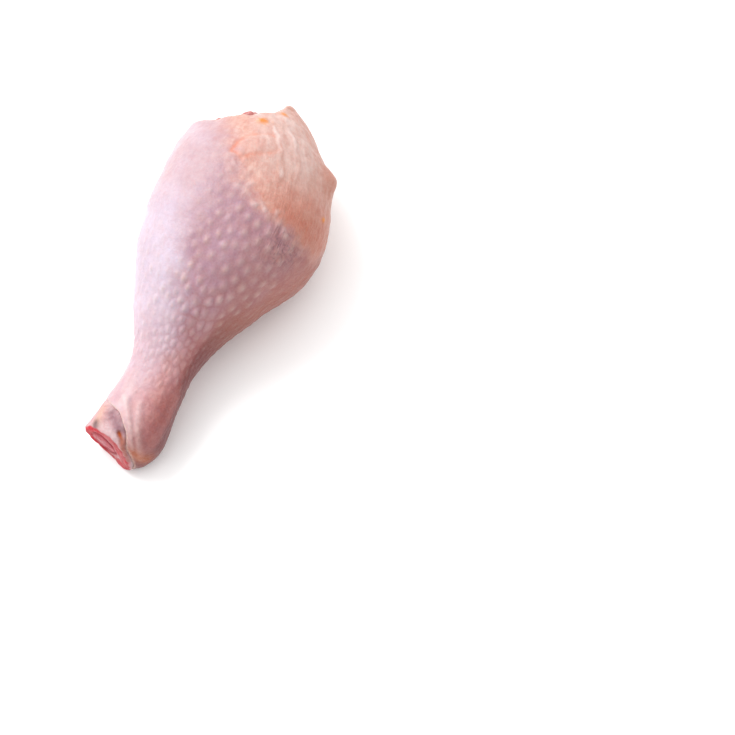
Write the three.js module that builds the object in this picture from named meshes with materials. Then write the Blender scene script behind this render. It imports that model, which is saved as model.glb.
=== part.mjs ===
// A raw chicken drumstick, lying on its side on a level surface, with its skin on.
// Three solids: the meat in its skin, the shin bone that runs through it from the hock cut to the
// knee, and the marrow in the bone. Units are millimetres and +Z is up. +X runs from the hock to
// the knee, +Y is the leg's left side, and the origin is the middle of the part's box, on the
// surface it lies on.
import * as THREE from "three";

// ---- Driving dimensions ----
const SKIN = 1.3; // thickness of the skin, which shows as a step at both of its cut edges
const GAP = 0.35; // clearance between one solid and the next
const SETTLE = 1.6; // depth over which the underside runs into its flat spot
const PLUMP = 2.15; // 2 makes each section an ellipse, and more makes it fuller
const SLANT = { up: 0.4, left: -0.1 }; // how far the hock cut leans up the leg, for each unit of reach
const SLANT_REACH = 11; // the length of leg over which the lean dies away

// The leg's form, section by section from the hock cut to the knee cut. x, y and z place the
// middle of the section; left, right, up and down are its reach from there.
const SECTIONS = [
  { x: -58.3, y: 6.4, z: 6.2, left: 10.3, right: 9.4, up: 10.0, down: 5.9 }, // hock cut
  { x: -51.0, y: 3.2, z: 8.4, left: 9.6, right: 12.2, up: 10.8, down: 9.7 }, // knuckle
  { x: -39.9, y: -0.8, z: 12.0, left: 10.7, right: 9.0, up: 8.9, down: 9.2 },
  { x: -29.4, y: -1.8, z: 13.9, left: 11.5, right: 8.4, up: 10.1, down: 9.9 }, // neck
  { x: -17.1, y: -2.6, z: 16.7, left: 17.2, right: 11.6, up: 14.6, down: 13.4 },
  { x: -2.8, y: -4.8, z: 20.3, left: 24.8, right: 18.6, up: 20.1, down: 20.2 },
  { x: 11.4, y: -6.2, z: 22.6, left: 26.8, right: 26.6, up: 23.0, down: 25.1 }, // belly
  { x: 25.6, y: -4.2, z: 24.0, left: 25.6, right: 25.8, up: 22.2, down: 25.6 },
  { x: 37.0, y: -0.2, z: 25.4, left: 23.8, right: 22.6, up: 18.8, down: 23.4 },
  { x: 43.6, y: 3.2, z: 27.2, left: 20.6, right: 20.0, up: 15.2, down: 19.6 },
  { x: 47.4, y: 5.5, z: 28.9, left: 16.0, right: 17.2, up: 11.8, down: 15.2 }, // knee cut
];

// The shin bone's middle line and its half width and half height.
const BONE = [
  { x: -57.2, y: 7.8, z: 7.6, wide: 4.0, high: 4.0 }, // hock cut
  { x: -39.9, y: 1.1, z: 12.7, wide: 3.7, high: 3.5 },
  { x: -19.0, y: -0.9, z: 17.1, wide: 3.5, high: 3.4 },
  { x: 9.5, y: -1.5, z: 22.4, wide: 3.8, high: 3.7 },
  { x: 30.0, y: -0.4, z: 25.2, wide: 5.3, high: 4.9 },
  { x: 40.4, y: 2.4, z: 26.9, wide: 8.0, high: 6.9 },
  { x: 45.2, y: 4.7, z: 28.2, wide: 9.0, high: 7.2 }, // knee
];
const HEAD = 1.6; // how far the bone's head stands out past its last section
const COLLAR = 1.5; // how far the meat stops short of that section
const MARROW_SHARE = 0.66; // the marrow's share of the bone's width

// Raised and sunken forms of the skin: where each lies along and round the leg, its reach each
// way and its height. The angle is 0 on the leg's left side and a quarter turn on its top.
const FORMS = [
  { along: 91.4, turn: 2.95, reachAlong: 2.4, reachRound: 2.8, height: 4.0 }, // nub
  { along: 95, turn: 1.7, reachAlong: 7, reachRound: 9, height: 0.8 }, // kneecap
  { along: 84, turn: 2.3, reachAlong: 6, reachRound: 6, height: -0.5 }, // dip below the kneecap
  { along: 8, turn: 2.3, reachAlong: 6, reachRound: 4, height: 0.8 }, // fold at the hock
  { along: 5.5, turn: 1.35, reachAlong: 3, reachRound: 3, height: -1.0 }, // hollow beside it
];

// How finely the solids are faceted.
const MEAT_FACETS = 64;
const MEAT_RINGS = 48;
const BONE_FACETS = 24;
const BONE_RINGS = 13;
const MARROW_RINGS = 9; // the marrow fills the bone up to this ring

// ---- Small helpers ----
const TURN = 2 * Math.PI;
const UP = new THREE.Vector3(0, 0, 1);
const bump = (distance, reach) => Math.exp(-((distance / reach) ** 2));
const angleBetween = (a, b) => Math.atan2(Math.sin(a - b), Math.cos(a - b));
const steps = (count, from, to) =>
  Array.from({ length: count + 1 }, (_, i) => from + ((to - from) * i) / count);
const ring = (facets, pointAt) => steps(facets, 0, TURN).slice(0, -1).map(pointAt);
const between = (ringA, ringB, share) => ringA.map((p, i) => p.clone().lerp(ringB[i], share));

// A smooth run through a list of sections, read at any distance along their middle line.
function smoothRun(sections, fields) {
  const middles = sections.map((s) => new THREE.Vector3(s.x, s.y, s.z));
  const at = [0];
  for (let i = 1; i < sections.length; i++) at.push(at[i - 1] + middles[i].distanceTo(middles[i - 1]));
  const length = at.at(-1);
  const values = sections.flatMap((s) => fields.map((field) => s[field]));
  const curve = new THREE.CubicInterpolant(at, values, fields.length);
  const read = (along) => {
    const found = curve.evaluate(along);
    return Object.fromEntries(fields.map((field, i) => [field, found[i]]));
  };
  return { read, length };
}

// The section at a distance along a run: its middle and its directions, which are ahead along the
// run, out to its left side, and up. Past an end of the run it is the end's own section.
function sectionOf(run, along) {
  const at = THREE.MathUtils.clamp(along, 0, run.length);
  const size = run.read(at);
  const a = run.read(Math.max(at - 0.5, 0));
  const b = run.read(Math.min(at + 0.5, run.length));
  const ahead = new THREE.Vector3(b.x - a.x, b.y - a.y, b.z - a.z).normalize();
  const side = new THREE.Vector3().crossVectors(UP, ahead).normalize();
  const rise = new THREE.Vector3().crossVectors(ahead, side);
  return { size, middle: new THREE.Vector3(size.x, size.y, size.z), ahead, side, rise };
}

const leg = smoothRun(SECTIONS, ["x", "y", "z", "left", "right", "up", "down"]);
const bone = smoothRun(BONE, ["x", "y", "z", "wide", "high"]);

// ---- The slant of the hock cut ----
// Leans the space round the hock, and all that is in it, so that the cut shows from above.
const HOCK = sectionOf(leg, 0);
function lean(point) {
  const away = point.clone().sub(HOCK.middle);
  const share = 1 - THREE.MathUtils.smoothstep(away.dot(HOCK.ahead), 0, SLANT_REACH);
  const shift = SLANT.up * away.dot(HOCK.rise) + SLANT.left * away.dot(HOCK.side);
  return point.addScaledVector(HOCK.ahead, share * shift);
}

// ---- The skin's surface ----
// How far the skin stands out at a distance along the leg and an angle round it.
function relief(along, turn, radius) {
  let height = 0.35 * Math.sin(along / 6.1 + 2 * turn) + 0.3 * Math.sin(along / 9.7 - 3 * turn + 1);
  for (const form of FORMS) {
    const round = radius * angleBetween(turn, form.turn);
    height += form.height * bump(along - form.along, form.reachAlong) * bump(round, form.reachRound);
  }
  return height;
}

// The soft underside runs smoothly into a flat spot on the surface it lies on.
function settle(z) {
  if (z >= SETTLE) return z;
  return z <= -SETTLE ? 0 : (z + SETTLE) ** 2 / (4 * SETTLE);
}

// A point of the leg's outline, sunk by inset below the skin.
function skinPoint(along, turn, inset = 0) {
  const { size, middle, ahead, side, rise } = sectionOf(leg, along);
  const wide = Math.cos(turn) > 0 ? size.left : size.right;
  const high = Math.sin(turn) > 0 ? size.up : size.down;
  const share = (value) => Math.sign(value) * Math.abs(value) ** (2 / PLUMP);
  const offset = relief(along, turn, (wide + high) / 2) - inset;
  const out = new THREE.Vector2(Math.cos(turn) / wide, Math.sin(turn) / high).setLength(offset);
  const beyond = along - THREE.MathUtils.clamp(along, 0, leg.length);
  const point = middle
    .addScaledVector(side, wide * share(Math.cos(turn)) + out.x)
    .addScaledVector(rise, high * share(Math.sin(turn)) + out.y)
    .addScaledVector(ahead, beyond);
  lean(point);
  return point.setZ(settle(point.z));
}

// A ring of the leg's outline, where along gives its distance along the leg at each angle.
const skinRing = (along, inset = 0) => ring(MEAT_FACETS, (turn) => skinPoint(along(turn), turn, inset));

// A ring round the bone: a share of its width, plus a clearance, moved ahead of its section.
function boneRing(along, facets, { share = 1, clearance = 0, forward = 0 } = {}) {
  const { size, middle, ahead, side, rise } = sectionOf(bone, along);
  return ring(facets, (turn) => {
    const point = middle.clone().addScaledVector(ahead, forward);
    point.addScaledVector(side, (size.wide * share + clearance) * Math.cos(turn));
    point.addScaledVector(rise, (size.high * share + clearance) * Math.sin(turn));
    return lean(point);
  });
}

// ---- Solids from rings ----
// Joins each ring to the next. A looped body's last ring meets its first, and otherwise a ring of
// one point closes each end.
function solidFrom(rings, looped = false) {
  const points = rings.flat();
  const first = rings.map((_, i) => rings.slice(0, i).flat().length);
  const corner = (i, j) => first[i] + (j % rings[i].length);
  const faces = [];
  for (let i = 0; i < rings.length - (looped ? 0 : 1); i++) {
    const next = (i + 1) % rings.length;
    const facets = Math.max(rings[i].length, rings[next].length);
    for (let j = 0; j < facets; j++) {
      if (rings[i].length > 1) faces.push(corner(i, j), corner(i, j + 1), corner(next, j));
      if (rings[next].length > 1) faces.push(corner(i, j + 1), corner(next, j + 1), corner(next, j));
    }
  }
  const geometry = new THREE.BufferGeometry().setFromPoints(points).setIndex(faces);
  geometry.computeVertexNormals();
  return geometry;
}

// ---- The meat in its skin ----
// The skin is drawn back from the hock cut on top, and its knee edge is uneven, with one corner.
const skinStart = (turn) => {
  const share = THREE.MathUtils.smoothstep(Math.abs(angleBetween(turn, 0.9)), 0.5, 1.5);
  return THREE.MathUtils.lerp(10.8, 0.8, share);
};
const skinEnd = (turn) =>
  leg.length -
  0.7 +
  0.5 * Math.sin(2 * turn + 0.5) +
  0.3 * Math.sin(5 * turn) +
  0.9 * bump(angleBetween(turn, 0.7), 0.35) +
  2.0 * bump(angleBetween(turn, 2.85), 0.45);

// The hock cut, from the bone outwards, and the bare stub between it and the skin.
function hockRings() {
  const hole = boneRing(0, MEAT_FACETS, { clearance: GAP });
  const rim = skinRing(() => 0, SKIN + 0.6);
  const cut = [0, 0.35, 0.7, 1].map((share) => between(hole, rim, share));
  const stub = [0.06, 0.3, 0.65, 1].map((share) => skinRing((turn) => share * skinStart(turn), SKIN));
  return [...cut, ...stub];
}

// The skin from its rolled edge at the hock to its rolled edge at the knee.
function skinRings() {
  const roll = 0.8;
  const rings = [skinRing((turn) => skinStart(turn) - 0.3, SKIN * 0.4)];
  for (const share of steps(MEAT_RINGS, 0, 1)) {
    rings.push(skinRing((turn) => THREE.MathUtils.lerp(skinStart(turn) + roll, skinEnd(turn) - roll, share)));
  }
  rings.push(skinRing(skinEnd, SKIN * 0.5));
  rings.push(skinRing((turn) => skinEnd(turn) - roll, SKIN));
  return rings;
}

// The raw cut at the knee, whose lobes of meat bulge as far as the skin's edge and just past it.
function kneeRings() {
  const lobes = (turn) =>
    1.2 +
    0.4 * Math.sin(3 * turn + 1) +
    1.1 * bump(angleBetween(turn, 1.22), 0.16) +
    1.2 * bump(angleBetween(turn, 1.76), 0.2);
  const rim = skinRing((turn) => skinEnd(turn) - 1.6, SKIN + 0.3);
  const hole = boneRing(bone.length - COLLAR, MEAT_FACETS, { clearance: GAP });
  const { ahead } = sectionOf(leg, leg.length);
  return [0, 0.15, 0.35, 0.6, 0.85, 1].map((share) =>
    between(rim, hole, share).map((point, i) => {
      const bulge = lobes((TURN * i) / MEAT_FACETS) * Math.sin(Math.PI * share ** 0.6);
      return point.addScaledVector(ahead, bulge);
    }),
  );
}

// The tunnel that the bone lies in, from the knee back to the hock.
const BONE_STATIONS = steps(BONE_RINGS, 0, bone.length - COLLAR);
const tunnelRings = () =>
  BONE_STATIONS.slice(1, -1)
    .toReversed()
    .map((along) => boneRing(along, MEAT_FACETS, { clearance: GAP }));

const meatInSkin = () => solidFrom([...hockRings(), ...skinRings(), ...kneeRings(), ...tunnelRings()], true);

// ---- The bone and its marrow ----
const MARROW_STATIONS = BONE_STATIONS.slice(0, MARROW_RINGS + 1);
const endPoint = (along, forward = 0) => {
  const { middle, ahead } = sectionOf(bone, along);
  return [lean(middle.addScaledVector(ahead, forward))];
};

// The bone is open at the hock cut, and its head closes it at the knee.
function shinBone() {
  const cavity = { share: MARROW_SHARE, clearance: GAP };
  const last = MARROW_STATIONS.at(-1);
  return solidFrom([
    endPoint(last, GAP),
    boneRing(last, BONE_FACETS, { ...cavity, forward: GAP }),
    ...MARROW_STATIONS.toReversed().map((along) => boneRing(along, BONE_FACETS, cavity)),
    ...BONE_STATIONS.map((along) => boneRing(along, BONE_FACETS)),
    boneRing(bone.length, BONE_FACETS),
    boneRing(bone.length, BONE_FACETS, { clearance: -1.2, forward: 0.7 * HEAD }),
    boneRing(bone.length, BONE_FACETS, { share: 0.5, forward: HEAD }),
    endPoint(bone.length, 0.85 * HEAD),
  ]);
}

function boneMarrow() {
  return solidFrom([
    endPoint(0),
    ...MARROW_STATIONS.map((along) => boneRing(along, BONE_FACETS, { share: MARROW_SHARE })),
    endPoint(MARROW_STATIONS.at(-1)),
  ]);
}

// ---- The part ----
function piece(name, geometry, color, roughness) {
  const mesh = new THREE.Mesh(geometry, new THREE.MeshStandardMaterial({ color, roughness, metalness: 0 }));
  mesh.name = name;
  return mesh;
}

const drumstick = new THREE.Group();
drumstick.add(
  piece("meat_in_skin", meatInSkin(), 0xdcb8b8, 0.45),
  piece("shin_bone", shinBone(), 0xd9b3a8, 0.5),
  piece("bone_marrow", boneMarrow(), 0xa84a50, 0.5),
);

// The origin goes to the middle of the part's box.
const box = new THREE.Box3().setFromObject(drumstick);
drumstick.position.set(-(box.min.x + box.max.x) / 2, -(box.min.y + box.max.y) / 2, 0);

export default drumstick;
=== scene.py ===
"""A raw chicken drumstick, lying on its side with its skin on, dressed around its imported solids.

Places and sizes below are in millimetres, in the part's own frame: +X runs from the hock to the
knee, +Y is the leg's left side and +Z is up. They become metres where a mesh is written."""

import math
from types import SimpleNamespace
import bmesh
import bpy
import numpy as np
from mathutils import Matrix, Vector, kdtree, noise
from mathutils.bvhtree import BVHTree


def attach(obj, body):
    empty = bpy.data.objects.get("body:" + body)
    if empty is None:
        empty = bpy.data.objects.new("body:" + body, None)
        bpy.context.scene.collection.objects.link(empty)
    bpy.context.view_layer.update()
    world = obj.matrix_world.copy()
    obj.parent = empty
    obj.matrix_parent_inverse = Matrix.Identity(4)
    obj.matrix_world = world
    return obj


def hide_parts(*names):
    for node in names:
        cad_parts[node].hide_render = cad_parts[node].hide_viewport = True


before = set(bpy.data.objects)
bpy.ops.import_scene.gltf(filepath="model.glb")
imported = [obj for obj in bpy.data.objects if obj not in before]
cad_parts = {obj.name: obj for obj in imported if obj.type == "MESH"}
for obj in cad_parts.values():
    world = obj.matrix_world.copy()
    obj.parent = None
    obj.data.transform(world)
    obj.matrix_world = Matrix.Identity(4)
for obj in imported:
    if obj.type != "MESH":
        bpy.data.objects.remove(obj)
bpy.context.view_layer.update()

MM = 0.001
CLEARANCE = 0.35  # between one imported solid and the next
STEP = 0.5  # between the points of the leg's smooth middle line
SHARP = 1.0  # an edge that turns by more than this angle is kept sharp

# The leg's middle line from the hock cut to the knee cut.
MIDDLE = [
    (-56.7, 12.1, 6.2), (-49.4, 8.9, 8.4), (-38.3, 4.9, 12.0), (-27.8, 3.9, 13.9), (-15.5, 3.1, 16.7),
    (-1.2, 0.9, 20.3), (13.0, -0.5, 22.6), (27.2, 1.5, 24.0), (38.6, 5.5, 25.4), (45.2, 8.9, 27.2),
    (49.0, 11.2, 28.9),
]

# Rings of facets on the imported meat, counted from the hock's cut to the knee's.
HOLE = 0  # round the sawn end of the bone
RIM = 3  # the outer edge of the hock's cut
STUB_END = 7  # where the bare stub goes in under the skin
LIP = 8  # the skin's edge at the hock
KNEE_EDGE = 58  # the skin's edge at the knee
KNEE_INSIDE = 59  # the inner side of that edge
KNEE_MEAT = 60  # the outer edge of the knee's cut
KNEE_HOLE = 65  # round the head of the bone


# ---- Working on one piece at a time ----
def take(piece):
    """Makes the piece the only one selected."""
    bpy.ops.object.select_all(action="DESELECT")
    piece.select_set(True)
    bpy.context.view_layer.objects.active = piece


def edit(piece):
    """Opens the piece in edit mode."""
    take(piece)
    bpy.ops.object.mode_set(mode="EDIT")


def done():
    bpy.ops.object.mode_set(mode="OBJECT")


def pick(piece, kind, test):
    """Selects, in edit mode, the verts, edges or faces that pass a test."""
    bpy.ops.mesh.select_mode(type={"verts": "VERT", "edges": "EDGE", "faces": "FACE"}[kind])
    bpy.ops.mesh.select_all(action="DESELECT")
    shape = bmesh.from_edit_mesh(piece.data)
    for item in getattr(shape, kind):
        if test(item):
            item.select_set(True)
    bmesh.update_edit_mesh(piece.data)


def apply(piece, kind, **settings):
    """Adds a modifier to the piece and applies it."""
    take(piece)
    modifier = piece.modifiers.new(kind.lower(), kind)
    for name, value in settings.items():
        setattr(modifier, name, value)
    bpy.ops.object.modifier_apply(modifier=modifier.name)


def copy_of(source, name):
    piece = bpy.data.objects.new(name, source.data.copy())
    bpy.context.scene.collection.objects.link(piece)
    return piece


def whole_copy(solid, name):
    """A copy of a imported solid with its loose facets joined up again."""
    piece = copy_of(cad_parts[solid], name)
    edit(piece)
    bpy.ops.mesh.select_all(action="SELECT")
    bpy.ops.mesh.remove_doubles(threshold=0.001 * MM)
    bpy.ops.mesh.tris_convert_to_quads(face_threshold=0.7, shape_threshold=3.14)
    done()
    piece.data.materials.clear()
    return piece


# ---- Reading and writing a piece's vertices, in millimetres ----
def places(piece):
    found = np.empty(len(piece.data.vertices) * 3, np.float32)
    piece.data.vertices.foreach_get("co", found)
    return found.reshape(-1, 3).astype(float) / MM


def normals(piece):
    found = np.empty(len(piece.data.vertices) * 3, np.float32)
    piece.data.vertices.foreach_get("normal", found)
    return found.reshape(-1, 3).astype(float)


def move_to(piece, points):
    """Moves the vertices, but none below the surface that the leg lies on."""
    points[:, 2] = np.maximum(points[:, 2], 0)
    piece.data.vertices.foreach_set("co", (points * MM).astype(np.float32).ravel())
    piece.data.update()


def mark(piece, **shares):
    """Keeps shares from 0 to 1 at each vertex, for the material to read."""
    for name, values in shares.items():
        layer = piece.data.attributes.new(name, "FLOAT", "POINT")
        layer.data.foreach_set("value", np.clip(values, 0, 1).astype(np.float32))


# ---- Small shapes of numbers ----
def bump(distance, reach):
    """1 at no distance, about a third at the reach, and soon 0 beyond it."""
    return np.exp(-((distance / reach) ** 2))


def ease(low, high, value):
    """0 below low, 1 above high and smooth between them."""
    share = np.clip((value - low) / (high - low), 0, 1)
    return share * share * (3 - 2 * share)


def between(value, rise, fall):
    """0 before the rise and after the fall, and 1 from one to the other. Each has two ends."""
    return ease(*rise, value) * (1 - ease(*fall, value))


def read(table, at):
    """What a table of places and values says at each place, and evenly between its rows."""
    return np.interp(at, *zip(*table))


def grain(points, size, seed=0.0):
    """Soft random waves from -1 to 1, where size is the width of one wave."""
    scaled = (points / size + seed).tolist()
    return np.array([noise.noise(p) for p in scaled])


def folds(points, size, seed=0.0):
    """Narrow ridges with wide valleys between them, from 0 to 1."""
    return np.clip(1 - 3.2 * np.abs(grain(points, size, seed)), 0, 1)


def from_path(points, path):
    """How far each point lies from a line through the path's points."""
    best = np.full(len(points), 1e9)
    path = np.array(path, float)
    for a, b in zip(path[:-1], path[1:]):
        run = b - a
        share = np.clip(((points - a) @ run) / (run @ run), 0, 1)
        best = np.minimum(best, np.linalg.norm(points - a - share[:, None] * run, axis=1))
    return best


def from_point(points, place):
    return np.linalg.norm(points - np.array(place, float), axis=1)


def nearest(points, targets):
    """For each point, the target nearest to it, how far that is, and how much further the next is."""
    tree = kdtree.KDTree(len(targets))
    for i, target in enumerate(targets):
        tree.insert(target, i)
    tree.balance()
    found = [tree.find_n(p, 2) for p in points.tolist()]
    own = np.array([f[0][1] for f in found])
    near = np.array([f[0][2] for f in found])
    return own, near, np.array([f[1][2] for f in found]) - near


# ---- The leg's own directions ----
def smooth_line(points, soften=28):
    """The line through the points, at even steps and with its corners eased."""
    points = np.array(points, float)
    at = np.concatenate([[0], np.cumsum(np.linalg.norm(np.diff(points, axis=0), axis=1))])
    even = np.arange(0, at[-1], STEP)
    line = np.stack([np.interp(even, at, points[:, i]) for i in range(3)], 1)
    padded = np.pad(line, ((soften, soften), (0, 0)), mode="reflect", reflect_type="odd")
    window = np.hanning(2 * soften + 1)
    return np.stack([np.convolve(padded[:, i], window / window.sum(), "valid") for i in range(3)], 1)


LINE = smooth_line(MIDDLE)
AHEAD = np.gradient(LINE, axis=0)
AHEAD /= np.linalg.norm(AHEAD, axis=1)[:, None]
SIDE = np.cross((0.0, 0.0, 1.0), AHEAD)
SIDE /= np.linalg.norm(SIDE, axis=1)[:, None]
RISE = np.cross(AHEAD, SIDE)


class Lie:
    """Where points lie on the leg: how far along it, how far out to its left side, how far up, and
    the angle round it, which is 0 on the leg's left side and a quarter turn on its top."""

    def __init__(self, points):
        step = np.array([np.argmin(((LINE - p) ** 2).sum(1)) for p in points])
        away = points - LINE[step]
        self.along = STEP * step + (away * AHEAD[step]).sum(1)
        self.out = (away * SIDE[step]).sum(1)
        self.up = (away * RISE[step]).sum(1)
        self.turn = np.arctan2(self.up, self.out)

    def turned(self, turn):
        """The angle from a place round the leg, from 0 to half a turn."""
        return np.abs(np.arctan2(np.sin(self.turn - turn), np.cos(self.turn - turn)))

    def straight(self, squeeze=1.0):
        """The points as if the leg's middle line were straight, and squeezed along it."""
        return np.stack([self.along * squeeze, self.out, self.up], 1)


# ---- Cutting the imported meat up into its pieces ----
def number_rings(piece):
    """Numbers the rings of facets from the open edge at the hock to the one at the knee."""
    shape = bmesh.new()
    shape.from_mesh(piece.data)
    layer = shape.verts.layers.int.new("ring")
    for vert in shape.verts:
        vert[layer] = -1
    front = [v for v in shape.verts if v.is_boundary and v.co.x < 0]
    count = 0
    while front:
        for vert in front:
            vert[layer] = count
        front = list({e.other_vert(v) for v in front for e in v.link_edges if e.other_vert(v)[layer] < 0})
        count += 1
    shape.to_mesh(piece.data)
    shape.free()


def ring_of(piece, number):
    """The places of the vertices on one ring."""
    found = np.empty(len(piece.data.vertices), np.int32)
    piece.data.attributes["ring"].data.foreach_get("value", found)
    return places(piece)[found == number]


def open_leg():
    """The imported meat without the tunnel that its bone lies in, its rings numbered."""
    leg = whole_copy("meat_in_skin", "leg")
    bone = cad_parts["shin_bone"].data
    near = BVHTree.FromPolygons([v.co for v in bone.vertices], [tuple(p.vertices) for p in bone.polygons])
    edit(leg)
    reach = (CLEARANCE + 0.1) * MM
    pick(leg, "faces", lambda face: near.find_nearest(face.calc_center_median())[3] < reach)
    bpy.ops.mesh.delete(type="FACE")
    done()
    number_rings(leg)
    return leg


def length_of(leg, name, first, last):
    """The leg from one ring to another, as a piece of its own."""
    piece = copy_of(leg, name)
    edit(piece)
    layer = bmesh.from_edit_mesh(piece.data).verts.layers.int["ring"]
    pick(piece, "verts", lambda v: not first <= v[layer] <= last)
    bpy.ops.mesh.delete(type="VERT")
    done()
    return piece


def close_inwards(piece, ring, move, scale):
    """Takes the open edge on a ring inwards along X, scales it to fit and closes it."""
    edit(piece)
    layer = bmesh.from_edit_mesh(piece.data).verts.layers.int["ring"]
    pick(piece, "edges", lambda e: e.is_boundary and all(v[layer] == ring for v in e.verts))
    verts = [v.co.copy() for v in bmesh.from_edit_mesh(piece.data).verts if v.select]
    middle = sum(verts, Vector()) / len(verts)
    bpy.ops.mesh.extrude_region_move(TRANSFORM_OT_translate={"value": (move * MM, 0, 0)})
    middle.x += move * MM
    bpy.ops.transform.resize(value=(scale, scale, scale), center_override=middle)
    bpy.ops.mesh.edge_face_add()
    bpy.ops.mesh.select_all(action="SELECT")
    bpy.ops.mesh.normals_make_consistent(inside=False)
    done()


def refine(piece, voxel):
    """Evens the piece out into fine facets, and lays them back on its smooth surface."""
    apply(piece, "SUBSURF", levels=2, render_levels=2)
    guide = copy_of(piece, "guide")
    apply(piece, "REMESH", mode="VOXEL", voxel_size=voxel * MM, use_smooth_shade=True)
    apply(piece, "SHRINKWRAP", target=guide, wrap_method="NEAREST_SURFACEPOINT")
    bpy.data.objects.remove(guide)


# ---- Skin: its zones, its forms and what lies under it ----
# Where the loose, fatty skin of the knee begins: along the leg at each angle round it.
FATTY_EDGE = [
    (-3.14, 76), (-2.6, 80), (-2.2, 90), (-1.8, 104), (-1.5, 125), (0.8, 125), (1.2, 110), (1.35, 103),
    (1.5, 91), (1.61, 86), (1.69, 83), (1.8, 80), (1.94, 77.5), (2.09, 76), (2.32, 75), (2.51, 74),
    (2.74, 73), (3.14, 73),
]
# How softly it begins: half the width of that edge at each angle.
FATTY_SOFTNESS = [(-3, 2.5), (-1.5, 5), (1.5, 6), (1.75, 5), (2.0, 4), (2.5, 2.5)]
# How far round from the leg's left side the pale skin reaches, partly its own tone and partly painted light
# where the lamp falls, and from where the blush with painted shade begins on the right and under side, by the
# place along the leg.
PALE_AND_LIT_TO = [(18, 1.45), (37, 1.7), (58, 1.15), (80, 0.95)]
BLUSH_AND_SHADE_FROM = [(18, 1.8), (37, 2.1), (60, 2.5)]
# The cells of the skin, each with a follicle in its middle: how wide they are and how many times
# longer than wide, by the place along the leg.
CELL_WIDTH = [(0, 1.4), (18, 1.5), (38, 1.9), (55, 2.9), (75, 3.4), (112, 3.0)]
CELL_LENGTH = [(0, 2.0), (18, 2.2), (38, 1.7), (55, 1.3), (75, 1.15), (112, 1.3)]

# A line round the kneecap.
KNEECAP = [
    (28.8, 4.1, 45.7), (32.4, 3.7, 45.5), (35.6, 1.6, 44.9), (38.0, -1.9, 44.0), (38.8, -5.3, 43.1),
    (36.1, -7.6, 43.5), (32.4, -6.2, 44.7), (29.5, -2.6, 45.7), (27.5, 0.4, 45.8), (28.8, 4.1, 45.7),
]
FAT_RIDGES = [
    [(42.4, -3.3, 42.0), (39.3, -5.4, 42.8), (36.4, -7.1, 43.6), (33.3, -8.8, 43.7), (27.4, -11.0, 43.5)],
    [(48.5, -4.0, 38.4), (43.5, -7.8, 40.0), (38.0, -11.7, 41.0), (31.8, -15.0, 40.8)],
]
# Folds of the skin at the hock: the path, its half width and its height.
HOCK_FOLDS = [
    ([(-43.8, 10.4, 18.8), (-47.4, 8.3, 19.1), (-50.7, 6.5, 18.9), (-54.1, 4.6, 18.2), (-56.8, 3.4, 14.4)],
     1.0, 0.26),
    ([(-44.2, 8.2, 19.3), (-47.5, 6.7, 19.2), (-50.7, 5.2, 18.9), (-54.8, 3.2, 17.6), (-57.3, 2.4, 12.2)],
     0.7, -0.208),
    ([(-44.2, 5.5, 19.7), (-47.8, 4.5, 19.3), (-51.9, 3.2, 18.6), (-55.3, 1.6, 16.5), (-57.2, 1.1, 10.0)],
     1.0, 0.221),
    ([(-44.2, 3.6, 19.8), (-48.0, 2.4, 19.0), (-51.5, 1.1, 18.0), (-54.9, -0.5, 14.9), (-55.7, -1.1, 9.7)],
     0.8, -0.169),
]
# Where the skin on top lies over fat and is paler: the path of each streak and its half width.
PALE_STREAKS = [
    ([(8.0, 19.0, 38.0), (-3.0, 15.7, 36.0), (-10.6, 12.1, 33.8), (-16.4, 7.3, 32.0)], 2.2),
    ([(-18.0, 4.5, 30.5), (-27.0, 4.5, 26.5), (-34.0, 5.0, 23.0)], 1.3),
]
# Specks of orange fat: the place of each and its size.
ORANGE_FAT = [((43.4, 0.7, 41.9), 1.5), ((50.4, -3.1, 37.2), 1.1), ((23.8, -25.5, 31.2), 0.8)]
# The tan patch on the folds at the hock.
TAN_PATCH = [(-57.9, 2.6, 12.3), (-57.0, 1.2, 10.0), (-56.0, -0.6, 8.6)]
# The middle of the patch where the skin is crumpled.
CRUMPLED = (7.8, -19.8, 37.6)
# Where the skin's edge at the knee is torn and a little meat stands out, and how wide.
TORN = [((41.0, 13.8, 40.0), 1.3), ((46.3, 5.4, 40.3), 1.6)]

# How high the forms stand out of the skin, or how deep they are sunk in it.
PIMPLES = 0.5
PEBBLES = 0.17
BEADS_OF_FAT = 0.45
RIDGES_OF_FAT = 0.3
KNEECAP_MOUND = 0.7
KNEECAP_LINE = 0.2
SPECKS = 0.25
CREASES = 0.2


def torn(points):
    return np.max([bump(from_point(points, at), width) for at, width in TORN], 0)


def past_fatty_edge(skin, points, lie):
    """How far each point lies past the line where the fatty skin begins, and below 0 short of it."""
    beyond = lie.along > read(FATTY_EDGE, lie.turn)
    ends = np.empty(len(skin.data.edges) * 2, np.int32)
    skin.data.edges.foreach_get("vertices", ends)
    first, second = ends.reshape(-1, 2).T
    crossing = beyond[first] != beyond[second]
    shore = (points[first[crossing]] + points[second[crossing]]) / 2
    return nearest(points, shore)[1] * np.where(beyond, 1, -1)


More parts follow.
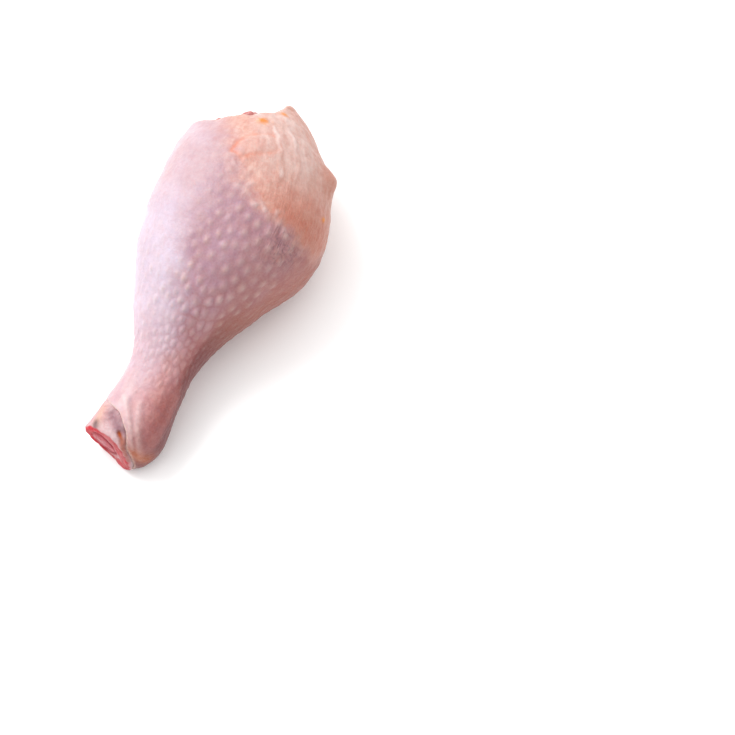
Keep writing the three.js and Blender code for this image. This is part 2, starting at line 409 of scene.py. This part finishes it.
def skin_cells(lie, rng):
    """For each point its follicle, how far off that is, and how much further the next one is. The
    distances are shares of the cells' width, and the follicles are spread evenly over them."""
    # The skin laid out so that all cells are as long as they are wide, and one unit across.
    width = read(CELL_WIDTH, lie.along)
    step = 0.5
    steps = np.arange(-10, 125, step)
    pace = step / read(CELL_WIDTH, steps) / read(CELL_LENGTH, steps)
    even = np.stack([np.interp(lie.along, steps, np.cumsum(pace)), lie.out / width, lie.up / width], 1)
    # Follicles are put down wherever there is room, until there is none left.
    room = 0.85
    filled, chosen = {}, []
    for i in rng.permutation(len(even)):
        p = even[i]
        x, y, z = (int(v) for v in np.floor(p))
        crowd = [
            c
            for dx in (-1, 0, 1)
            for dy in (-1, 0, 1)
            for dz in (-1, 0, 1)
            for c in filled.get((x + dx, y + dy, z + dz), ())
        ]
        if not crowd or min(((even[crowd] - p) ** 2).sum(1)) > room**2:
            filled.setdefault((x, y, z), []).append(i)
            chosen.append(i)
    # Each then moves half of the way to the middle of its cell.
    quills = even[chosen]
    own = nearest(even, quills)[0]
    sums = np.zeros((len(quills), 4))
    np.add.at(sums, own, np.c_[even, np.ones(len(even))])
    quills = (quills + sums[:, :3] / np.maximum(sums[:, 3:], 1)) / 2
    return nearest(even, quills)


def skin_zones(skin, points, lie, leg):
    """Shares from 0 to 1 for the zones of the skin, and how far each point lies from their edges.
    Turn is the angle from the leg's left side over its top, all the way round. Clear is well inside
    the skin's edges, and lively is how much of the relief shows."""
    zone = SimpleNamespace(turn=lie.turn % (2 * np.pi))
    zone.from_hock = nearest(points, ring_of(leg, LIP))[1]
    zone.from_knee = nearest(points, ring_of(leg, KNEE_EDGE))[1]
    zone.from_edge = np.minimum(zone.from_hock, zone.from_knee)
    zone.clear = ease(-0.2, 2.2, zone.from_edge)
    zone.neck = 1 - ease(22, 52, lie.along + 5 * grain(points, 9, 1.0))
    zone.shank = 1 - ease(17, 30, lie.along + 4 * grain(points, 6, 12.0))
    zone.upper_left = ease(45, 70, lie.along) * (1 - ease(0.95, 1.55, np.abs(lie.turn - 0.1)))
    zone.right = between(zone.turn, (1.4, 2.0), (4.6, 5.2))
    zone.lively = 0.35 + 0.65 * between(zone.turn, (0.4, 0.9), (2.5, 2.9))
    zone.past = past_fatty_edge(skin, points, lie)
    soft = read(FATTY_SOFTNESS, lie.turn)
    wander = 2.0 * grain(points, 4.5, 7.0) + 1.4 * grain(points, 1.7, 2.0)
    zone.fatty = ease(-soft, soft, zone.past + wander)
    return zone


def skin_forms(points, lie, zone):
    """Shares from 0 to 1 for the forms that stand out of the skin or are sunk in it, the distances
    from the follicles, and a wobble that keeps lines from being straight."""
    rng = np.random.default_rng(11)
    own, near, gap = skin_cells(lie, rng)
    form = SimpleNamespace(near=near, gap=gap)
    form.plump = rng.uniform(0.35, 1.15, own.max() + 1)[own]
    form.dot = form.plump * bump(near * (1 + 0.3 * grain(points, 1.2, 9.0)), 0.29)
    form.pimply = (1 - 0.85 * zone.fatty) * (1 - 0.85 * zone.upper_left) * zone.clear
    form.pimply *= 0.95 + 0.35 * grain(points, 14, 3.0)
    form.pimply *= zone.lively * (1 - 0.9 * zone.shank)
    form.pebble = 0.15 + 0.85 * (1 - ease(38, 66, lie.along + 8 * grain(points, 11, 4.0)))
    form.pebble *= (1 - 0.8 * zone.shank) * (1 - 0.8 * zone.upper_left) * (1 - zone.fatty)
    form.pebble *= 0.35 + 0.65 * between(zone.turn, (0.9, 1.6), (5.0, 5.5))
    form.pebble *= zone.clear * zone.lively * (0.6 + 0.6 * zone.right)
    form.wobble = 0.9 * np.stack([grain(points, 3.5, s) for s in (1.0, 2.0, 3.0)], 1)
    form.stretched = folds(lie.straight(0.14) + 0.5 * form.wobble, 2.6, 5.0)
    form.crumpled = bump(from_point(points, CRUMPLED), 6.5) * (1 - 0.7 * zone.fatty)
    form.creases = folds(points * (1, 0.45, 0.45) + 0.4 * form.wobble, 1.3, 3.0)
    form.beads = bump(zone.past - 0.5, 3.0) * between(zone.turn, (1.4, 1.6), (2.2, 2.7))
    form.beads *= np.clip(1.6 * grain(points, 2.4, 8.0) + 0.1, 0, 1)
    wavy = points + form.wobble
    form.ridges = np.max([bump(from_path(wavy, path), 0.9) for path in FAT_RIDGES], 0)
    form.ridges *= np.clip(0.85 + 0.9 * grain(points, 4, 6.0), 0, 1)
    form.kneecap = bump(from_path(wavy, KNEECAP), 0.75)
    form.kneecap *= np.clip(0.9 + 0.9 * grain(points, 4, 2.0), 0, 1)
    form.mound = bump(from_point(points, np.mean(KNEECAP, 0)), 5.0)
    form.streak = np.max([bump(from_path(wavy, path), width) for path, width in PALE_STREAKS], 0)
    uneven = 1 + 0.5 * grain(points, 0.9)
    form.speck = np.max([bump(from_point(points, at) * uneven, size) for at, size in ORANGE_FAT], 0)
    form.raised, form.sunk, form.folded = np.zeros((3, len(points)))
    for path, width, rise in HOCK_FOLDS:
        fold = bump(from_path(points, path), width) * ease(0, 2, zone.from_hock)
        form.folded += rise * fold
        side = form.raised if rise > 0 else form.sunk
        np.maximum(side, fold, out=side)
    return form


def skin_height(points, lie, zone, form):
    """How far the skin stands out from the smooth leg."""
    height = PIMPLES * form.pimply * (1 - 0.5 * zone.neck) * (form.dot - 0.12)
    height += PEBBLES * form.pebble * (0.4 + 0.6 * form.plump) * (ease(0, 0.9, form.gap) - 0.6)
    height += 0.15 * grain(points, 14, 1.0) + 0.1 * grain(points, 6, 2.0) + 0.06 * grain(points, 2.4, 6.0)
    height += 0.1 * zone.clear * zone.shank * (form.stretched - 0.3)
    height += 0.08 * zone.clear * zone.neck * grain(lie.straight(0.4), 1.8, 6.0)
    taut = 0.04 + 0.08 * ease(1.9, 2.4, zone.turn)
    loose = taut * folds(lie.straight(0.3) + form.wobble, 2.6, 9.0) + 0.16 * grain(points, 2.6, 4.0)
    height += zone.fatty * zone.clear * loose
    height -= CREASES * np.maximum(form.crumpled, 0.25 * zone.shank * zone.clear) * (form.creases - 0.3)
    height += BEADS_OF_FAT * form.beads + RIDGES_OF_FAT * form.ridges + SPECKS * form.speck
    return height + KNEECAP_MOUND * form.mound - KNEECAP_LINE * form.kneecap + form.folded


def skin_marks(points, lie, zone, form):
    """The shares from 0 to 1 that the skin's material reads."""
    turn, along = zone.turn, lie.along
    mottled = 0.85 + 0.4 * grain(points, 7, 5.0)
    # Paler skin on the leg's left side, where the lamp falls: partly the skin's own tone and partly painted
    # light. The streaks over fat and the band at the hock's edge are the skin's own.
    pale_and_lit_to = read(PALE_AND_LIT_TO, along) - 0.15 * grain(points, 5, 11.0)
    pale_and_lit = 1 - ease(-0.35, 0.35, lie.turned(0.15) - pale_and_lit_to)
    pale_and_lit = np.maximum(pale_and_lit, 0.7 * bump(zone.from_hock, 3.5) * (1 - ease(2.2, 2.5, turn)))
    pale_and_lit = np.maximum(pale_and_lit, 0.75 * form.streak * mottled)
    pale_fat = ease(78, 94, along) * between(turn, (1.6, 2.0), (2.5, 2.9))
    pale_fat *= 0.45 * mottled + 0.25 * form.stretched
    # Painted highlight: the ridges of the stretched folds on the pale shank and of the raised folds at the
    # hock made whitish.
    fold_highlight = 0.3 * pale_and_lit * zone.shank * form.stretched + 0.35 * form.raised
    # Darker, redder skin on the leg's right and under side: partly the skin's own blush and partly painted
    # shade where the light falls away.
    blush_and_shade_from = read(BLUSH_AND_SHADE_FROM, along) - 0.15 * grain(points, 5, 13.0)
    blush_and_shade = ease(-0.1, 0.7, turn - blush_and_shade_from) * (1 - ease(4.2, 5.2, turn))
    # Painted shade: the under edge on the leg's right side darkened further, where the light falls away.
    painted_shade = between(turn, (2.35 + 0.35 * zone.shank, 2.7 + 0.25 * zone.shank), (3.4, 4.4))
    deep = zone.fatty * ease(-1, 4 - 2 * ease(2.2, 2.7, turn), zone.past)
    deep *= between(turn, (1.8, 2.4), (3.6, 4.6)) * (1 - ease(74, 90, along))
    # Painted shade in the creases of the crumpled patch and on the shank's right side.
    creased_shade = np.maximum(form.crumpled, 0.35 * zone.shank * zone.right) * ease(0.2, 0.8, form.creases)
    return {
        "pale_and_lit": pale_and_lit,
        "neck": zone.neck * (1 - 0.45 * pale_and_lit),
        "rosy": ease(62, 90, along) * (1 - ease(0.7, 1.2, lie.turned(0.5))) * mottled,
        "blush_and_shade": blush_and_shade * (1 - zone.fatty) * (1 - 0.15 * zone.shank),
        "painted_shade": painted_shade * (1 - ease(44, 62, along)),
        "fatty": zone.fatty,
        "warm": between(turn, (1.7, 2.5), (4.4, 5.2)) * ease(34, 50, along),
        "deep": deep * mottled,
        # White fat of the ridges, beads and knee is the skin's own; on the kneecap's mound and on the fold
        # ridges it is a painted highlight.
        "white_fat_and_highlight": np.max([form.ridges, 0.6 * form.beads, 0.3 * form.mound, pale_fat, fold_highlight], 0),
        "follicle": form.pimply * form.plump * bump(form.near, 0.24) * (1 - 0.7 * zone.neck),
        # Painted shade in the grooves between the pebbles, in the red of the skin's own net.
        "red_net_and_groove_shade": form.pebble * (1 - ease(0.0, 0.4, form.gap)) * form.plump,
        # Painted shade in the sunk folds at the hock and in the creases.
        "crease_shade": np.maximum(0.45 * form.sunk, creased_shade),
        "wrinkles": np.maximum(form.crumpled, 0.06 * zone.fatty),
        "line": form.kneecap,
        "speck": 1.2 * form.speck,
        "tan": bump(from_path(points, TAN_PATCH), 2.8) * mottled,
        "rim": np.maximum(bump(zone.from_hock, 0.6), 0.6 * bump(zone.from_knee, 0.9)),
    }


# ---- Materials ----
def linear(colour):
    """An sRGB hex colour as the linear one that Blender works in."""
    values = [int(colour[i : i + 2], 16) / 255 for i in (1, 3, 5)]
    return tuple(v / 12.92 if v <= 0.04045 else ((v + 0.055) / 1.055) ** 2.4 for v in values) + (1.0,)


def node(tree, kind, sockets=None, **settings):
    """Adds a node with its settings. A socket is given a value, or the output that it is linked to."""
    made = tree.nodes.new(kind)
    for name, value in settings.items():
        setattr(made, name, value)
    for name, value in (sockets or {}).items():
        if isinstance(value, bpy.types.NodeSocket):
            tree.links.new(value, made.inputs[name])
        else:
            made.inputs[name].default_value = value
    return made


def start(name, depth, marks=(), **sockets):
    """A new material, its tree, its shader, the coordinates of its patterns, and the shares that its
    piece's vertices keep. Depth is how far light spreads in it, in millimetres, and the sockets are
    what is the same all over it."""
    material = bpy.data.materials.new(name)
    material.use_nodes = True
    tree = material.node_tree
    shader = tree.nodes["Principled BSDF"]
    shader.inputs["Subsurface Scale"].default_value = depth * MM
    for socket, value in sockets.items():
        shader.inputs[socket.replace("_", " ")].default_value = value
    place = node(tree, "ShaderNodeTexCoord").outputs["Object"]
    share = {m: node(tree, "ShaderNodeAttribute", attribute_name=m).outputs["Fac"] for m in marks}
    return material, tree, shader, place, share


def patterns(tree, *rows):
    """Soft random patterns from 0 to 1: for each its coordinates, the width of its waves in
    millimetres and how many finer waves lie on them."""
    made = []
    for vector, width, finer in rows:
        sockets = {"Vector": vector, "Scale": 1 / (width * MM), "Detail": finer}
        waves = node(tree, "ShaderNodeTexNoise", sockets)
        spread = {"Value": waves.outputs["Fac"], "From Min": 0.34, "From Max": 0.66}
        made.append(node(tree, "ShaderNodeMapRange", spread).outputs["Result"])
    return made


def coats(tree, ground, *layers):
    """Lays coats of colour over a ground, each as thick as its share says. A colour is a hex value,
    or what other coats came to."""
    ground = linear(ground) if isinstance(ground, str) else ground
    for share, colour, most in layers:
        colour = linear(colour) if isinstance(colour, str) else colour
        thin = node(tree, "ShaderNodeMath", {0: share, 1: most}, operation="MULTIPLY").outputs["Value"]
        over = {"Fac": thin, "Color1": ground, "Color2": colour}
        ground = node(tree, "ShaderNodeMixRGB", over).outputs["Color"]
    return ground


def relief(tree, shader, *rows):
    """Relief finer than the mesh: the height of each pattern and its depth in millimetres."""
    below = {}
    for height, depth in rows:
        made = node(tree, "ShaderNodeBump", {"Height": height, "Distance": depth * MM, **below})
        below = {"Normal": made.outputs["Normal"]}
    tree.links.new(below["Normal"], shader.inputs["Normal"])


def raw_skin():
    """Raw poultry skin, plucked and chilled: thin, moist and see-through, so light goes deep and the
    flesh tints it rose and lilac. Fat makes it cream at the follicles and peach at the knee."""
    marks = (
        "pale_and_lit", "neck", "rosy", "blush_and_shade", "painted_shade", "fatty", "deep", "warm", "line", "white_fat_and_highlight", "follicle",
        "red_net_and_groove_shade", "crease_shade", "wrinkles", "speck", "tan", "rim",
    )
    material, tree, shader, place, share = start(
        "raw_skin", 1.0, marks, Subsurface_Weight=0.25, Roughness=0.42, IOR=1.4, Specular_IOR_Level=0.28,
        Coat_Weight=0.1, Coat_Roughness=0.22, Subsurface_Radius=(1.0, 0.42, 0.36),
    )
    run = node(tree, "ShaderNodeAttribute", attribute_name="run").outputs["Vector"]
    # The grit and the hairlines are 0.1 to 0.2 mm wide on real skin, and are drawn at about 0.6 mm so
    # that they show.
    blotches, mottle, flecks, grit, streaks, hairs = patterns(
        tree, (place, 9, 2), (place, 3.2, 3), (place, 1.3, 2), (place, 0.6, 2), (run, 1.5, 3), (run, 0.55, 2),
    )
    lilac = coats(tree, "#906A78", (blotches, "#A07F8D", 0.9), (mottle, "#A27C7A", 0.5))
    # A pale, bluish coat: partly the skin's own tone, partly painted light and sheen on the leg's lit left
    # side.
    pale_and_lit = coats(tree, "#B5A5B4", (blotches, "#BEB1C0", 0.8), (mottle, "#BAA4AA", 0.4))
    shank = coats(tree, "#B47F7E", (blotches, "#BE9498", 0.9), (mottle, "#BC8C84", 0.5))
    rosy = coats(tree, "#AA8B90", (mottle, "#B2999E", 0.7))
    peach = coats(
        tree, "#B57C6E", (blotches, "#BC9080", 0.8), (mottle, "#C8A79C", 0.6), (streaks, "#C4A49B", 0.15),
        (flecks, "#B67565", 0.35), (hairs, "#A06658", 0.06),
    )
    deep = coats(tree, "#B26452", (mottle, "#BA7C6C", 0.8), (hairs, "#984838", 0.35))
    # The dark coat for the blush and the painted shade on the right and under side.
    dark = coats(tree, "#8A3E36", (mottle, "#9A5A52", 0.7), (flecks, "#74342E", 0.4))
    colour = coats(
        tree, lilac,
        # Painted light on the lit left side, over the skin's own paler tone and its pale streaks.
        (share["pale_and_lit"], pale_and_lit, 1.0),
        (share["neck"], shank, 0.9),
        (share["rosy"], rosy, 0.9),
        # Blush with painted shade on the right and under side.
        (share["blush_and_shade"], dark, 0.95),
        # Painted shade on the leg's right under edge.
        (share["painted_shade"], "#5E2426", 0.75),
        (share["fatty"], peach, 1.0),
        (share["deep"], deep, 0.9),
        (share["warm"], "#A4644A", 0.35),
        (share["line"], "#BE6A4C", 0.85),
        # White fat, with painted highlights on the fold ridges and the kneecap's mound.
        (share["white_fat_and_highlight"], "#D2C2BE", 0.8),
        (share["follicle"], "#BCA59C", 0.45),
        # Painted shade in the grooves between the pebbles, in the skin's red.
        (share["red_net_and_groove_shade"], "#8A4444", 0.35),
        # Painted shade in the creases and sunk folds.
        (share["crease_shade"], "#6A4854", 0.45),
        (share["speck"], "#CC7E36", 1.0),
        (share["tan"], "#A2572E", 0.8),
        (share["rim"], "#CBAFA2", 0.9),
        (flecks, "#7E4648", 0.1),
        (grit, "#D6BCBC", 0.06),
    )
    tree.links.new(colour, shader.inputs["Base Color"])
    folded, wrinkled = (
        node(tree, "ShaderNodeMath", {0: share[where], 1: hairs}, operation="MULTIPLY").outputs["Value"]
        for where in ("deep", "wrinkles")
    )
    relief(tree, shader, (streaks, 0.03), (folded, 0.1), (wrinkled, 0.3), (flecks, 0.06), (grit, 0.03))
    return material


def cut_meat():
    """Raw muscle, cut across: wet and deep pink, with pale sinew between its bundles."""
    material, tree, shader, place, share = start(
        "raw_meat", 1.4, ("sinew",), Subsurface_Weight=0.4, Roughness=0.32, IOR=1.4,
        Coat_Weight=0.4, Coat_Roughness=0.18, Subsurface_Radius=(1.0, 0.3, 0.25),
    )
    # Cut fibres are less than 0.1 mm wide, and are drawn at 0.6 mm so that they show.
    patches, fibres = patterns(tree, (place, 3.5, 3), (place, 0.6, 3))
    colour = coats(
        tree, "#9C504E",
        (patches, "#B4746E", 0.9),
        (fibres, "#AA635E", 0.3),
        (share["sinew"], "#C7ADA5", 1.0),
    )
    tree.links.new(colour, shader.inputs["Base Color"])
    relief(tree, shader, (fibres, 0.12))
    return material


def hock_sinew():
    """Sinew and fascia, pulled bare of skin: whitish, smooth and wet, and red where it is cut."""
    material, tree, shader, place, share = start(
        "bare_sinew", 0.8, ("cut", "red", "ring", "white", "hollow", "peach", "stain", "bruise"),
        Subsurface_Weight=0.2, Roughness=0.5, IOR=1.4, Specular_IOR_Level=0.12,
        Subsurface_Radius=(1.0, 0.4, 0.35),
    )
    # The fibres are about 0.1 mm wide, and are drawn at 0.7 mm so that they show.
    patches, fibres = patterns(tree, (place, 2.2, 3), (place, 0.7, 3))
    fascia = coats(tree, "#B28E92", (patches, "#C0A7A8", 0.8), (fibres, "#A87A7E", 0.35))
    flesh = coats(tree, "#A84C50", (patches, "#B86A6A", 0.9), (fibres, "#98383E", 0.35))
    colour = coats(
        tree, fascia,
        (share["white"], "#C7B9B8", 0.8),
        # Painted shade in the hollow of the stub.
        (share["hollow"], "#74505A", 0.9),
        (share["peach"], "#C59884", 0.8),
        (share["cut"], flesh, 1.0),
        (share["red"], "#B02430", 0.85),
        (share["ring"], "#7A1C28", 0.8),
        (share["stain"], "#94441C", 1.0),
        (share["bruise"], "#3A2C36", 1.0),
    )
    tree.links.new(colour, shader.inputs["Base Color"])
    relief(tree, shader, (patches, 0.12), (fibres, 0.08))
    return material


def sawn_bone():
    """Bone with its gristle: pearly and smooth at the knee, blood-dark where it is cut at the hock."""
    material, tree, shader, place, share = start(
        "bone_and_gristle", 0.8, ("sawn", "edge", "blood"), Subsurface_Weight=0.25, Roughness=0.45,
        Specular_IOR_Level=0.12, Subsurface_Radius=(1.0, 0.5, 0.45),
    )
    # The bone's pores are about 0.1 mm wide, and are drawn at 0.6 mm so that they show.
    patches, pores = patterns(tree, (place, 3, 2), (place, 0.6, 2))
    colour = coats(
        tree, "#BBA2A4",
        (patches, "#C8BBB9", 0.9),
        (share["blood"], "#A56466", 0.7),
        (share["sawn"], "#AA4C54", 0.97),
        (share["edge"], "#741824", 0.85),
        (pores, "#8E4248", 0.3),
    )
    tree.links.new(colour, shader.inputs["Base Color"])
    relief(tree, shader, (pores, 0.06))
    return material


def soft_marrow():
    """Marrow at the sawn end: soft, wet and grey-pink, speckled where fat shows."""
    material, tree, shader, place, _ = start(
        "marrow", 0.8, Subsurface_Weight=0.25, Roughness=0.5, Specular_IOR_Level=0.12,
    )
    patches, flecks = patterns(tree, (place, 2.2, 3), (place, 0.7, 2))
    colour = coats(tree, "#A8525C", (patches, "#C08488", 0.8), (flecks, "#90404A", 0.3))
    tree.links.new(colour, shader.inputs["Base Color"])
    relief(tree, shader, (flecks, 0.12))
    return material


# ---- The pieces ----
def finish(piece, material, solid):
    """Gives a finished piece its material and its place in the frame, smooths its shading and hides the
    imported solid that it stands for.
    """
    piece.data.materials.clear()
    piece.data.materials.append(material)
    take(piece)
    bpy.ops.object.shade_smooth()
    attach(piece, "root")
    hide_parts(solid)


def make_skin(leg):
    skin = length_of(leg, "skin", STUB_END, KNEE_MEAT)
    close_inwards(skin, STUB_END, move=3, scale=0.72)
    close_inwards(skin, KNEE_MEAT, move=-3, scale=0.75)
    refine(skin, voxel=0.46)
    points, outwards = places(skin), normals(skin)
    lie = Lie(points)
    zone = skin_zones(skin, points, lie, leg)
    form = skin_forms(points, lie, zone)
    height = skin_height(points, lie, zone, form)
    # The skin's edges are ragged, and drawn back off the stub and where they are torn at the knee.
    ragged = 0.45 * grain(points, 2.6, 4.0) * bump(zone.from_edge, 1.2)
    ragged += 1.0 * bump(zone.from_hock, 3.5) - 0.8 * torn(points)
    move_to(skin, points + height[:, None] * outwards + ragged[:, None] * AHEAD[0])
    mark(skin, **skin_marks(points, lie, zone, form))
    # Coordinates for streaks, which are about six times longer along the leg than across it.
    run = skin.data.attributes.new("run", "FLOAT_VECTOR", "POINT")
    run.data.foreach_set("vector", (lie.straight(0.16) * MM).astype(np.float32).ravel())
    finish(skin, raw_skin(), "meat_in_skin")


# Marks on the bare stub at the hock: the path of each and its half width.
STUB_MARKS = {
    "white": ([(-53.4, 15.9, 16.1), (-53.9, 12.9, 17.1), (-54.9, 9.8, 17.4), (-56.1, 7.6, 16.7)], 1.5),
    # The hollow is sunk a little and darkened with painted shade.
    "hollow": ([(-49.2, 12.3, 17.5), (-51.3, 9.9, 17.8), (-53.4, 7.9, 17.4)], 1.7),
    "peach": ([(-51.8, 16.3, 15.3), (-49.7, 16.2, 15.4), (-48.2, 16.2, 15.5)], 2.0),
    "bruise": ([(-53.5, 16.2, 15.2), (-52.6, 16.4, 15.0)], 1.3),
}
# The slit between two sinews, and the brown line that goes on from it.
SLIT = [(-53.9, 8.1, 17.1), (-55.0, 7.0, 16.7), (-56.4, 6.2, 15.8)]
SLIT_LINE = [(-55.5, 6.5, 16.6), (-56.8, 5.9, 15.4), (-58.4, 4.7, 12.4), (-59.1, 3.8, 9.5)]


def cut_at_hock(leg):
    """The rim of the hock's cut, and the way that the cut faces."""
    hole, rim = ring_of(leg, HOLE), ring_of(leg, RIM)
    face_way = np.linalg.svd(np.r_[hole, rim] - rim.mean(0))[2][2]
    return rim, -np.sign(face_way[0]) * face_way


def from_cut(points, rim, face_way):
    """How far each point lies behind the hock's cut, and how far to the left of its middle."""
    away = points - rim.mean(0)
    return -(away @ face_way), away @ np.cross(face_way, (0, 0, 1))


def set_back(points, rim, face_way):
    """Sets the lower part of the hock's cut back a little, as the saw went through at a slant."""
    behind, aside = from_cut(points, rim, face_way)
    low = (1 - ease(2.0, 11.0, points[:, 2])) * (0.2 + 0.8 * ease(-7.0, -1.0, aside))
    return points - (1.3 * low * (1 - ease(1.0, 6.0, behind)))[:, None] * face_way


def make_hock(leg):
    rim, face_way = cut_at_hock(leg)
    loops = ring_of(leg, LIP), ring_of(leg, HOLE), rim
    stub = length_of(leg, "hock_sinew", HOLE, STUB_END)
    close_inwards(stub, STUB_END, move=4, scale=0.9)
    close_inwards(stub, HOLE, move=3, scale=0.7)
    refine(stub, voxel=0.24)
    points, outwards = places(stub), normals(stub)
    behind, aside = from_cut(points, rim, face_way)
    from_lip, from_hole, from_rim = (nearest(points, loop)[1] for loop in loops)
    cut = np.maximum(1 - ease(0.3, 0.8, behind + 0.3 * grain(points, 1.5, 5.0)), bump(from_hole, 1.0))
    bare = 1 - cut
    marks = {name: bare * bump(from_path(points, path), reach) for name, (path, reach) in STUB_MARKS.items()}
    slit = bump(np.maximum(from_path(points, SLIT) - 0.4, 0), 0.35)
    line = 0.9 * bare * bump(np.maximum(from_path(points, SLIT_LINE) - 0.55, 0), 0.6)
    height = 0.95 * bare * bump(from_lip, 5) * (1 - bump(from_rim, 0.8))
    height += bare * (0.2 * folds(points, 2.2, 1.0) + 0.2 * grain(points, 4, 2.0) - 0.1)
    height += cut * (0.2 * grain(points, 1.3, 3.0) + 0.2 * grain(points, 3.2, 6.0))
    height += 0.45 * bump(from_hole, 1.2) * (1 - ease(0.2, 0.7, outwards @ face_way))
    height -= 0.7 * slit + 0.35 * marks["hollow"]
    move_to(stub, set_back(points + height[:, None] * outwards, rim, face_way))
    marks["white"] *= np.clip(0.7 + 0.9 * grain(points, 2.8, 9.0), 0, 1)
    left = ease(-2, 6, aside + 2 * grain(points, 3.0, 7.0))
    mark(
        stub,
        cut=cut,
        red=cut * np.maximum(left, 0.6 * ease(0.1, 0.4, grain(points, 2.4, 7.0))),
        ring=cut * bump(from_hole, 0.7) * (1 - 0.5 * left),
        stain=np.maximum(slit, line),
        **marks,
    )
    finish(stub, hock_sinew(), "meat_in_skin")


def make_knee(leg):
    meat = length_of(leg, "knee_meat", KNEE_INSIDE, KNEE_HOLE)
    close_inwards(meat, KNEE_INSIDE, move=-4, scale=0.92)
    close_inwards(meat, KNEE_HOLE, move=-3, scale=0.8)
    refine(meat, voxel=0.3)
    points, outwards = places(meat), normals(meat)
    facing = ease(0.2, 0.6, (outwards * AHEAD[-1]).sum(1))
    # The muscle's bundles, each round one of these points.
    bundles = points[np.random.default_rng(5).permutation(len(points))[:46]]
    spread = points + 1.2 * np.stack([grain(points, 5, s) for s in (1.0, 2.0, 3.0)], 1)
    seam = nearest(spread, bundles)[2]
    height = facing * (0.5 * (1 - bump(seam, 1.3)) - 0.25 + 0.15 * grain(points, 1.1, 6.0))
    height += 0.85 * torn(points)
    move_to(meat, points + height[:, None] * outwards)
    mark(meat, sinew=facing * bump(seam, 0.45) * (0.55 + 0.6 * grain(points, 3.5, 8.0)))
    finish(meat, cut_meat(), "meat_in_skin")


def fine_copy(solid, name):
    """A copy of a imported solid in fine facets, its sharp edges kept fairly sharp."""
    piece = whole_copy(solid, name)
    edit(piece)
    pick(piece, "edges", lambda e: len(e.link_faces) == 2 and e.calc_face_angle(0) > SHARP)
    bpy.ops.transform.edge_crease(value=0.8)
    done()
    apply(piece, "SUBSURF", levels=3, render_levels=3)
    return piece


def make_bone(leg):
    bone = fine_copy("shin_bone", "shin_bone_cut")
    rim, face_way = cut_at_hock(leg)
    points, outwards = places(bone), normals(bone)
    along = Lie(points).along
    from_marrow = nearest(points, places(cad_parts["bone_marrow"]))[1]
    aside = from_cut(points, rim, face_way)[1]
    knee = ease(102, 106, along)
    sawn = 1 - ease(6.0, 9.0, along)
    # The shaft fills the clearance round it, and its sawn end stands out a little.
    end = ease(0.5, 0.9, -(outwards * AHEAD[0]).sum(1))
    height = (1 - knee) * ((1 - end) * (CLEARANCE + 0.12) + 0.4 * end) + 0.1 * grain(points, 1.6, 2.0)
    # Two knuckles with a groove between them.
    across = (points - LINE[-1]) @ SIDE[-1]
    height += knee * (0.3 * bump(across - 4.5, 3.2) + 0.3 * bump(across + 4.2, 3.4) - 0.7 * bump(across, 2.0))
    move_to(bone, set_back(points + height[:, None] * outwards, rim, face_way))
    edge = sawn * ease(-0.2, 0.3, from_marrow - 1.4 + 0.5 * grain(points, 2.5, 4.0))
    mark(
        bone,
        sawn=sawn,
        edge=edge * (1 - 0.8 * ease(-3, 3, aside)),
        blood=knee * ease(0.1, 0.6, grain(points, 4, 3.0)) + (1 - knee),
    )
    finish(bone, sawn_bone(), "shin_bone")


def make_marrow(leg):
    marrow = fine_copy("bone_marrow", "marrow_cut")
    points, outwards = places(marrow), normals(marrow)
    height = 0.4 + 0.15 * grain(points, 1.2, 3.0)
    move_to(marrow, set_back(points + height[:, None] * outwards, *cut_at_hock(leg)))
    finish(marrow, soft_marrow(), "bone_marrow")


leg = open_leg()
make_skin(leg)
make_hock(leg)
make_knee(leg)
make_bone(leg)
make_marrow(leg)
bpy.data.objects.remove(leg)


# ---- Floor, light and camera ----
def pale_floor():
    """A matt white studio floor, a little uneven in tone as paper is."""
    material, tree, shader, place, _ = start("white_paper", 0, Roughness=0.9)
    (patches,) = patterns(tree, (place, 160, 2))
    tone = coats(tree, "#F8F8F8", (patches, "#FCFCFC", 1.0))
    tree.links.new(tone, shader.inputs["Base Color"])
    return material


bpy.ops.object.select_all(action="DESELECT")
bpy.ops.mesh.primitive_plane_add(size=4.0, location=(0, 0, 0))
floor = bpy.context.object
floor.name = "floor"
floor.data.materials.append(pale_floor())


def lamp(name, place, size, power):
    """A soft square light that faces the drumstick."""
    light = bpy.data.lights.new(name, "AREA")
    light.size, light.energy = size, power
    made = bpy.data.objects.new(name, light)
    made.location = Vector(place)
    made.rotation_euler = (Vector((0, 0, 0.02)) - made.location).to_track_quat("-Z", "Y").to_euler()
    bpy.context.scene.collection.objects.link(made)


def tent():
    """White walls all round that are brightest over the leg's left side and dim opposite."""
    world = bpy.data.worlds.new("tent")
    world.use_nodes = True
    tree = world.node_tree
    way = node(tree, "ShaderNodeTexCoord").outputs["Generated"]
    towards = {0: way, 1: (0.17, 0.45, 0.88)}
    share = node(tree, "ShaderNodeVectorMath", towards, operation="DOT_PRODUCT").outputs["Value"]
    strength = {"Value": share, "From Min": -1, "From Max": 1, "To Min": 0.12, "To Max": 1.62}
    glow = node(tree, "ShaderNodeMapRange", strength).outputs["Result"]
    tree.links.new(glow, tree.nodes["Background"].inputs["Strength"])
    tree.nodes["Background"].inputs["Color"].default_value = (1, 1, 1, 1)
    return world


lamp("side_light", place=(0.12, 0.36, 0.46), size=0.4, power=2.5)
bpy.context.scene.world = tent()
bpy.context.scene.view_settings.view_transform = "Standard"

lens = bpy.data.cameras.new("camera")
lens.lens, lens.sensor_width = 85, 36
camera = bpy.data.objects.new("camera", lens)
camera.location = (-0.21026, -0.12439, 0.47341)
camera.rotation_euler = (math.radians(25), 0, math.radians(-70))
bpy.context.scene.collection.objects.link(camera)
bpy.context.scene.camera = camera
